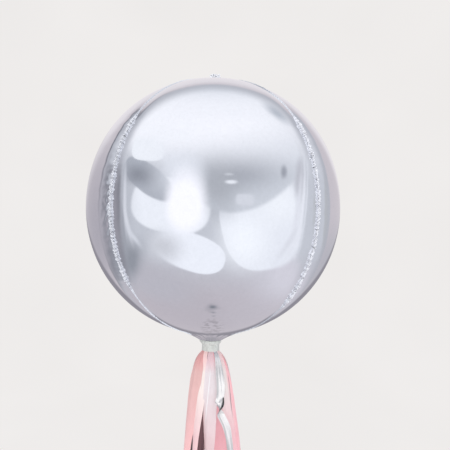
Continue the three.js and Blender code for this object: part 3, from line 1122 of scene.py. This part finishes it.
def strip_finish(tassel, made_of, tint):
    """The material of a strip, and a slot name."""
    if made_of == "silver":
        name = "silver_strip_foil" if tint == "plain" else f"silver_strip_foil_{tint}"
        return material(name, silver_material, tassel.silver, tint), "silver_strip"
    base = tassel.white if made_of == "white" else tassel.pink
    return material(f"{made_of}_tissue_{tint}", tissue_material, base, tint), f"{made_of}_tissue"


def pair(row, key):
    """A row's value at the shoulder and far below it."""
    value = row.get(key, 0.0)
    return value if isinstance(value, tuple) else (value, value)


def changed(drop):
    """How far a strip has changed over from its shoulder to its lower part, from 0 to 1."""
    return ease((drop - CHANGE_FROM) / CHANGE_OVER)


def cut_area(row, flat_length):
    """The flat area of a strip, which may be cut narrower or wider towards its end."""
    drops = [flat_length * step / AREA_STEPS for step in range(AREA_STEPS + 1)]
    widths = [lerp(*pair(row, "width"), changed(drop)) / 1000 for drop in drops]
    return flat_length * sum(widths) / len(widths)


def make_strip(tassel, row):
    node = row["node"]
    _, ring_name, made_of, number = node.split("_")
    ring = RINGS[ring_name]
    azimuth = FRONT + math.radians(ring["turn"] + 360 * (int(number) - 1) / ring["count"])
    outward, across = facing(azimuth)
    low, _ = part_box(node)
    top_drop = HEM_Z - STRIP_TOP_Z
    flat_length = STRIP_TOP_Z - low.z
    curl, groove = row.get("curl", 0.5) / 1000, row.get("groove")
    swing, swing_at = row.get("swing", 0) / 1000, row.get("swing_at", 0) / 1000
    fold, fold_at = math.tan(math.radians(row.get("fold", 0)) / 2), row.get("fold_at", 0.0)
    twist, twist_at = row.get("twist", 0) * math.pi, row.get("twist_at", 100) / 1000
    twist_over = row.get("twist_over", 42) / 1000
    seed = sum(ord(letter) for letter in node) % 97
    corners = {}

    def place(u, v):
        drop = top_drop + (1 - v) ** ROW_CROWDING * flat_length
        below = max(drop, 0)
        opened = 1 - math.exp(-below / WIDENING_FALL)
        change = changed(drop)
        width, shift, off, face = (lerp(*pair(row, key), change) for key in ("width", "shift", "off", "face"))
        q = 2 * u - 1
        wide = lerp(tassel.head, width / 1000, opened)
        turned = math.radians(face) * opened + twist * ease((drop - twist_at) / twist_over + 0.5)
        turned += STRIP_TURN * opened * wobble(drop * 11, seed, 1.3)
        side = across * math.cos(turned) + outward * math.sin(turned)
        front = outward * math.cos(turned) - across * math.sin(turned)
        radius = ring["radius"] + ring["flare"] * flare_at(drop) + off / 1000 * opened
        sway = opened * (shift / 1000 + STRIP_DRIFT * wobble(drop * 9, seed, 4.7))
        sway += swing * math.exp(-(((drop - swing_at) / SWING_LENGTH) ** 2))
        bulge = -curl * opened * q * q - fold * opened * abs(q - fold_at) * wide / 2
        pleats = tassel.pleat * opened * math.exp(-below / PLEAT_FALL) * math.sin(8 * q + seed + 30 * below)
        ripple = STRIP_RIPPLE * opened * wobble(q * 1.6, drop * 30, seed)
        if groove is not None:
            ripple -= GROOVE_DEPTH * opened * math.exp(-(((q - groove) / GROOVE_WIDTH) ** 2))
        ragged = STRIP_RAGGED * wobble(drop * 60, q * 2, seed + 3) * abs(q) ** 3
        at = outward * radius + across * sway
        at += side * (q * wide / 2 + ragged) + front * (bulge + ripple + pleats)
        at.x += LEAN * below
        at.z += HEM_Z - drop + 0.002 * q * wobble(seed, 2.2, 0) * clamp(below / flat_length)
        corners[spot(at)] = (q * wide / 2, drop)
        return at

    made = grid_of(STRIP_COLUMNS, STRIP_ROWS, place)
    uv = made.loops.layers.uv.new("UVMap")
    for cell in made.faces:
        for loop in cell.loops:
            loop[uv].uv = corners.get(spot(loop.vert.co), (0, 0))
    thicken(made, tassel.film)
    finish, slot = strip_finish(tassel, made_of, row.get("tint", "plain"))
    piece = finish_piece(made, node.replace("strip_", "hanging_"), finish, "tassel", [node], slot, sharp=50,
                         mirrored=False)
    cut_area(row, flat_length)


class BALLOON_OT_strips(Operator):
    """Make the tassel's tissue and foil strips"""
    bl_idname = "balloon.strips"
    bl_label = "Tassel strips"

    def execute(self, context):
        for row in STRIPS:
            make_strip(settings().tassel, row)
        return {"FINISHED"}


# Studio

def patch(name, at, size, glow, soft, turn=0.0, square=2.2, fade=(0.0, 0.0), outside=False):
    """A soft light or shade on a mirrored ball: x to the right and y up, with the ball's radius as 1. glow:
    what the foil shows there. soft: softness of its edge. turn: in degrees. square: how square its corners
    are. fade: how much softer its edge grows to the right and upwards. outside: it lies round the shape."""
    shape = {"Place X": at[0], "Place Y": at[1], "Width": size[0], "Height": size[1],
             "Turn": math.radians(turn), "Square": square, "Soft": soft, "Fade X": fade[0], "Fade Y": fade[1]}
    return {"name": name, "shape": shape, "glow": glow, "outside": outside}


# The lights and shades on a mirrored ball seen from the front, painted in this order, one over the other
LIGHTS = [
    patch("floor", (0.02, -0.875), (1.445, 0.373), (186, 181, 191), 0.5, square=3.0, fade=(0, 0.2)),
    patch("floor_light", (0.515, -0.505), (0.165, 0.165), (210, 209, 221), 0.8, fade=(-0.4, -0.3)),
    patch("floor_shade", (-0.418, -0.548), (0.263, 0.121), (185, 184, 195), 0.8, turn=-20),
    patch("main_light", (0.345, -0.106), (0.297, 0.342), (231, 235, 246), 0.045, turn=14, square=2.5,
          fade=(1.2, 0)),
    patch("main_light_hot", (0.221, -0.231), (0.145, 0.16), (246, 250, 259), 1.0),
    patch("main_light_top", (0.47, 0.03), (0.15, 0.12), (241, 245, 254), 1.0, turn=30),
    patch("crescent", (-0.315, -0.002), (0.288, 0.186), (237, 241, 251), 0.05, turn=-9, square=2.45),
    patch("low_ellipse", (-0.168, -0.323), (0.263, 0.133), (238, 242, 253), 0.06, turn=-18, square=2.4,
          fade=(-1.25, 0)),
    patch("low_shade", (-0.362, -0.293), (0.115, 0.089), (205, 208, 218), 0.86, turn=-21),
    patch("grey_centre", (0.128, 0.345), (0.52, 0.387), (205, 210, 221), 0.045, turn=-2, square=1.62),
    patch("dark_centre", (0.14, 0.222), (0.28, 0.112), (169, 173, 184), 1.0, turn=4.5, square=1.8),
    patch("dark_low", (0.018, 0.155), (0.105, 0.165), (174, 178, 188), 1.0, turn=10.8, square=2.4),
    patch("grey_patch", (0.222, 0.048), (0.066, 0.036), (213, 217, 228), 0.25, square=4.0),
    patch("ceiling", (0.007, 0.69), (0.779, 0.335), (247, 249, 258), 0.58, turn=4.3, square=3.4,
          fade=(0.67, 0.1)),
    patch("ceiling_top", (0.02, 0.922), (0.632, 0.097), (202, 208, 220), 0.94, turn=-1, square=2.5,
          fade=(0.1, -0.4)),
    patch("ceiling_spot", (0.462, 0.672), (0.093, 0.033), (186, 192, 204), 0.9, turn=-37),
    patch("blob", (0.502, 0.238), (0.019, 0.037), (158, 162, 174), 0.7),
    patch("glint", (0.118, 0.163), (0.041, 0.012), (234, 238, 248), 0.55),
    patch("glint_small", (0.1, 0.214), (0.028, 0.007), (202, 206, 216), 0.7),
    patch("grey_left", (-0.486, 0.182), (0.228, 0.092), (172, 177, 189), 0.07, turn=-34, square=2.1,
          fade=(0.6, 0.2)),
    patch("dark_left_top", (-0.546, 0.205), (0.103, 0.051), (144, 148, 160), 0.93, turn=-8, square=2.3),
    patch("ceiling_left", (-0.49, 0.385), (0.13, 0.085), (239, 243, 252), 0.16, turn=-8, square=3.0,
          fade=(0.6, 1.6)),
    patch("oval_glow", (-0.233, 0.225), (0.128, 0.105), (230, 234, 245), 1.0, square=2.5, fade=(-0.2, -0.1)),
    patch("oval", (-0.207, 0.018), (0.134, 0.192), (254, 255, 265), 0.36, square=2.1, fade=(0.1, 0.2)),
    patch("dark_left", (-0.685, -0.2), (0.052, 0.33), (160, 164, 175), 0.77, turn=8.9, square=2.6,
          fade=(0.4, 0.4)),
    patch("dark_left_low", (-0.597, -0.39), (0.065, 0.108), (147, 151, 162), 0.72, turn=-10, square=2.6,
          fade=(0.3, 0.2)),
    patch("left_line", (-0.664, 0.035), (0.015, 0.18), (214, 217, 228), 0.95, turn=3),
    patch("left_line_mid", (-0.64, -0.12), (0.015, 0.12), (216, 219, 230), 0.95, turn=16),
    patch("left_line_low", (-0.585, -0.225), (0.014, 0.075), (212, 216, 227), 0.95, turn=38),
    patch("right_grey", (0.628, 0.198), (0.04, 0.125), (192, 194, 205), 0.58, turn=-5),
    patch("right_shade", (0.605, -0.03), (0.017, 0.2), (225, 228, 239), 1.0, turn=-8),
    patch("right_shade_low", (0.55, -0.24), (0.017, 0.13), (220, 223, 234), 1.0, turn=-32),
    patch("right_light", (0.65, -0.01), (0.014, 0.24), (232, 235, 246), 0.95, turn=-7),
    patch("right_light_low", (0.59, -0.26), (0.013, 0.13), (228, 231, 242), 0.95, turn=-30),
    patch("right_light_far", (0.69, 0.02), (0.01, 0.25), (218, 222, 233), 0.95, turn=-8),
    patch("gap_left", (-0.79, -0.08), (0.062, 0.5), (108, 112, 123), 0.4, square=2.4),
    patch("gap_right", (0.825, 0.016), (0.037, 0.339), (182, 185, 192), 0.4, square=2.4),
    patch("edge_shade", (0.011, -0.0675), (0.822, 0.9325), (178, 181, 192), 0.055, square=2.0, outside=True),
    patch("gap_left_low", (-0.745, -0.36), (0.055, 0.22), (128, 131, 142), 0.7, turn=12),
    patch("backdrop_line", (0.023, -0.04), (0.862, 0.955), (106, 109, 120), 0.008, square=2.1, outside=True),
    patch("backdrop", (0.005, -0.03), (0.863, 0.935), (196, 191, 200), 0.008, square=2.1, outside=True),
    patch("backdrop_top", (0.008, -0.16), (1.0, 1.078), (218, 215, 223), 0.025, square=2.0, outside=True),
    patch("backdrop_right", (0.9, -0.46), (0.13, 0.34), (172, 173, 184), 0.9, turn=-24),
    patch("backdrop_left", (-0.89, -0.3), (0.13, 0.6), (171, 168, 179), 0.9),
    patch("low_edge", (0.0, 0.04), (0.992, 1.005), (136, 134, 145), 0.012, square=1.83, outside=True),
    patch("smudge", (0.012, -0.735), (0.038, 0.024), (126, 130, 141), 1.0),
]

# What lies behind the balloon and shows in its back, on a mirrored ball seen from behind
BACK_LIGHTS = [
    patch("back_window", (-0.03, 0.045), (0.05, 0.036), (238, 241, 249), 0.12, square=3.5),
    patch("back_shade", (0.045, -0.02), (0.04, 0.055), (160, 163, 174), 0.8, turn=20),
]

# What the foil shows between them
ROOM_GLOW = (196, 200, 211)


def linear(shown):
    """The light that a screen value of 0 to 255 stands for."""
    shown = shown / 255
    return shown / 12.92 if shown <= 0.04045 else ((shown + 0.055) / 1.055) ** 2.4


def build_map_group():
    """Mirrored ball: where a direction lies on a mirrored ball seen from the front, or from behind at -1."""
    tree, takes, gives = group("Mirrored ball", [("Direction", None), ("Side", 1.0)], ["X", "Y"])
    parts = split(tree, takes["Direction"])
    depth = calc(tree, "MULTIPLY_ADD", product(tree, parts["Y"], takes["Side"]), -2.0, 2.0)
    reach = calc(tree, "MAXIMUM", calc(tree, "SQRT", depth), 0.001)
    feed(tree, gives, {"X": ratio(tree, product(tree, parts["X"], takes["Side"]), reach),
                       "Y": ratio(tree, parts["Z"], reach)})


def build_light_group():
    """Soft shape: a rounded patch of light with a soft edge, as a mask."""
    tree, takes, gives = group("Soft shape", [
        ("X", 0.0), ("Y", 0.0), ("Place X", 0.0), ("Place Y", 0.0), ("Width", 0.2), ("Height", 0.2),
        ("Turn", 0.0), ("Square", 2.0), ("Soft", 0.2), ("Fade X", 0.0), ("Fade Y", 0.0)], ["Mask"])
    across, up = less(tree, takes["X"], takes["Place X"]), less(tree, takes["Y"], takes["Place Y"])
    cosine, sine = calc(tree, "COSINE", takes["Turn"]), calc(tree, "SINE", takes["Turn"])
    x = total(tree, product(tree, across, cosine), product(tree, up, sine))
    y = less(tree, product(tree, up, cosine), product(tree, across, sine))
    x, y = ratio(tree, x, takes["Width"]), ratio(tree, y, takes["Height"])
    powers = [calc(tree, "POWER", calc(tree, "ABSOLUTE", part), takes["Square"]) for part in (x, y)]
    away = calc(tree, "POWER", total(tree, *powers), ratio(tree, 1.0, takes["Square"]))
    grow = total(tree, product(tree, x, takes["Fade X"]), product(tree, y, takes["Fade Y"]))
    soft = product(tree, takes["Soft"], calc(tree, "EXPONENT", held(tree, grow, -3.0, 3.0)))
    soft = held(tree, soft, 0.01, 3.0)
    feed(tree, gives, {"Mask": ranged(tree, away, less(tree, 1.0, soft), total(tree, 1.0, soft), 1.0, 0.0,
                                      interpolation_type="SMOOTHSTEP")})


def glow_of(shown, foil):
    """The light that the foil shows as a screen colour."""
    return rgba([linear(value) / part for value, part in zip(shown, foil)])


def light_studio(studio, foil):
    """Soft boxes, ceiling and backdrop all round, which light the balloon and show in its foil."""
    build_map_group()
    build_light_group()
    world = bpy.data.worlds.new("soft_studio")
    bpy.context.scene.world = world
    world.use_nodes = True
    tree = world.node_tree
    place = coordinates(tree, "Generated")
    light = glow_of(ROOM_GLOW, foil)
    for side, patches in ((1.0, LIGHTS), (-1.0, BACK_LIGHTS)):
        ball = use_group(tree, "Mirrored ball", {"Direction": place, "Side": side})
        for row in patches:
            mask = use_group(tree, "Soft shape", {"X": ball["X"], "Y": ball["Y"]} | row["shape"],
                             label=row["name"])["Mask"]
            if row["outside"]:
                mask = less(tree, 1.0, mask)
            light = mixed(tree, mask, light, glow_of(row["glow"], foil))
    shader = tree.nodes["Background"]
    tree.links.new(light, shader.inputs["Color"])
    shader.inputs["Strength"].default_value = studio.brightness


# Where the lamp stands, seen from the balloon
LAMP_TOWARD = Vector((-0.35, -1.0, 0.35)).normalized()


def make_lamp(studio):
    """A large soft lamp before the balloon, which brightens tissue and doesn't show in the foil."""
    lamp = bpy.data.lights.new("front_lamp", "AREA")
    lamp.size = studio.lamp_size
    lamp.energy = studio.lamp_power
    lamp.color = studio.lamp_colour
    made = to_scene("front_lamp", lamp)
    made.matrix_world = Matrix.LocRotScale(LAMP_TOWARD * studio.lamp_distance,
                                           LAMP_TOWARD.to_track_quat("Z", "Y"), None)
    made.visible_glossy = made.visible_camera = False


# The floor's bend up into the wall: its radius, and the steps that it and the floor's round take
FLOOR_BEND = 1.0
BEND_STEPS, FLOOR_STEPS = 12, 96
FLOOR_DIM = 0.975


def make_floor(studio):
    """A round floor that curves up into the wall, seen only by the camera."""
    flat = studio.wall_radius - FLOOR_BEND
    profile = [(0, 0), (flat, 0)]
    for step in range(1, BEND_STEPS + 1):
        turn = QUARTER * step / BEND_STEPS
        profile.append((flat + FLOOR_BEND * math.sin(turn), FLOOR_BEND - FLOOR_BEND * math.cos(turn)))
    profile.append((studio.wall_radius, studio.wall_height))
    made = spun([(radius, height - studio.floor_drop) for radius, height in profile], FLOOR_STEPS)
    bmesh.ops.reverse_faces(made, faces=[f for f in made.faces if f.normal.dot(f.calc_center_median()) > 0])
    for face in made.faces:
        face.smooth = True
    floor = to_scene("studio_floor", to_mesh(made, "studio_floor"))
    floor.visible_diffuse = floor.visible_glossy = floor.visible_shadow = floor.visible_transmission = False
    paper, tree, inputs = new_material("pale_paper", Base_Color=rgba((0.0, 0.0, 0.0)), Roughness=1.0,
                                       Specular_IOR_Level=0.0, Emission_Strength=1.0)
    grain = noise_of(tree, coordinates(tree, "Object"), 1.2, 2.0)
    pale = mixed(tree, tones(tree, grain, 0, 1), shade(studio.floor, FLOOR_DIM), rgba(studio.floor))
    feed(tree, inputs, {"Emission Color": pale})
    floor.data.materials.append(paper)


# Where the balloon's middle lies in the photograph, and the distance at which one radian shows, in pixels
MIDDLE_X, MIDDLE_Y, FOCAL = 213.05, 207.49, 531.745


def make_camera(studio):
    turn = (Matrix.Rotation(studio.camera_roll, 3, "Y") @ Matrix.Rotation(studio.camera_tilt, 3, "X")
            @ Matrix.Rotation(studio.camera_turn, 3, "Z")).transposed()
    right, forward, up = turn.col[0], turn.col[1], turn.col[2]
    lens = bpy.data.cameras.new("camera")
    lens.sensor_width = SENSOR
    lens.lens = FOCAL * SENSOR / PHOTO_SIDE
    lens.shift_x = (PHOTO_SIDE / 2 - MIDDLE_X) / PHOTO_SIDE
    lens.shift_y = -(PHOTO_SIDE / 2 - MIDDLE_Y) / PHOTO_SIDE
    camera = to_scene("camera", lens)
    camera.matrix_world = Matrix.LocRotScale(-forward * studio.camera_distance,
                                             Matrix((right, up, -forward)).transposed(), None)
    bpy.context.scene.camera = camera


class BALLOON_OT_stage(Operator):
    """Make the camera, the soft studio light and the pale floor"""
    bl_idname = "balloon.stage"
    bl_label = "Studio"

    def execute(self, context):
        studio = settings().studio
        make_camera(studio)
        light_studio(studio, settings().envelope.foil)
        make_lamp(studio)
        make_floor(studio)
        context.scene.view_settings.view_transform = "Standard"
        return {"FINISHED"}


# Add-on

class BALLOON_PG_all(PropertyGroup):
    envelope: PointerProperty(type=BALLOON_PG_envelope)
    margins: PointerProperty(type=BALLOON_PG_margins)
    tassel: PointerProperty(type=BALLOON_PG_tassel)
    studio: PointerProperty(type=BALLOON_PG_studio)


OPERATORS = [
    BALLOON_OT_stage, BALLOON_OT_gores, BALLOON_OT_margins, BALLOON_OT_crown_tab, BALLOON_OT_neck,
    BALLOON_OT_strips,
]


class BALLOON_PT_pieces(Panel):
    """Lists the balloon's pieces in the 3D view's sidebar"""
    bl_idname = "BALLOON_PT_pieces"
    bl_label = "Round foil balloon"
    bl_space_type = "VIEW_3D"
    bl_region_type = "UI"
    bl_category = "Balloon"

    def draw(self, context):
        for operator in OPERATORS:
            self.layout.operator(operator.bl_idname)
        for part in (settings().envelope, settings().margins, settings().tassel, settings().studio):
            box = self.layout.box()
            for name in part.__annotations__:
                box.prop(part, name)


CLASSES = [
    BALLOON_PG_envelope, BALLOON_PG_margins, BALLOON_PG_tassel, BALLOON_PG_studio, BALLOON_PG_all,
    *OPERATORS, BALLOON_PT_pieces,
]


def register():
    for cls in CLASSES:
        bpy.utils.register_class(cls)
    bpy.types.Scene.balloon = PointerProperty(type=BALLOON_PG_all)


def unregister():
    del bpy.types.Scene.balloon
    for cls in reversed(CLASSES):
        bpy.utils.unregister_class(cls)


def main():
    register()
    for build in (build_crinkle_group, build_tissue_group, build_fold_shade_group, build_line_group):
        build()
    bpy.ops.balloon.stage()
    bpy.ops.balloon.gores()
    bpy.ops.balloon.margins()
    bpy.ops.balloon.crown_tab()
    bpy.ops.balloon.neck()
    bpy.ops.balloon.strips()


if __name__ == "__main__":
    main()
